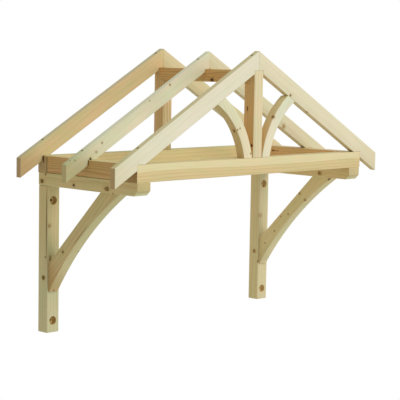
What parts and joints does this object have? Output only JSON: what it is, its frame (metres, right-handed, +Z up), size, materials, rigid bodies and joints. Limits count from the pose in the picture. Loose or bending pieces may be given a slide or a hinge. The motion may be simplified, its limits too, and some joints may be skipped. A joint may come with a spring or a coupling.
{
  "type": "porch canopy",
  "caption": "Open timber gable porch canopy frame on wall-mounted gallows brackets with hollow-curved braces and arched gable struts, for fixing above a doorway.",
  "frame": {"origin": "middle of the back tie beam's wall face, half way up the beam", "axes": "X along the wall, +Y out of the back into the wall so that the front is -Y, +Z up"},
  "size_m": [1.664, 0.631, 1.2399],
  "materials": {
    "bracket_timber": "planed softwood, pressure treated, faint green-yellow tint",
    "beam_timber": "planed softwood with warm growth rings",
    "rafter_timber": "planed softwood, pale cream",
    "peg_timber": "turned peg, dark end grain"
  },
  "bodies": {
    "root": {"left_wall_post": "bracket_timber", "right_wall_post": "bracket_timber", "left_bracket_arm": "bracket_timber", "right_bracket_arm": "bracket_timber", "left_bracket_brace": "bracket_timber", "right_bracket_brace": "bracket_timber", "left_post_peg": "peg_timber", "right_post_peg": "peg_timber", "left_arm_peg": "peg_timber", "right_arm_peg": "peg_timber", "left_foot_peg": "peg_timber", "right_foot_peg": "peg_timber", "back_tie_beam": "beam_timber", "front_tie_beam": "beam_timber", "left_side_plate": "beam_timber", "right_side_plate": "beam_timber", "back_king_post": "beam_timber", "front_king_post": "beam_timber", "ridge_beam": "beam_timber", "left_strut": "rafter_timber", "right_strut": "rafter_timber", "left_front_rafter": "rafter_timber", "right_front_rafter": "rafter_timber", "left_middle_rafter": "rafter_timber", "right_middle_rafter": "rafter_timber", "left_back_rafter": "rafter_timber", "right_back_rafter": "rafter_timber"}
  },
  "joints": []
}
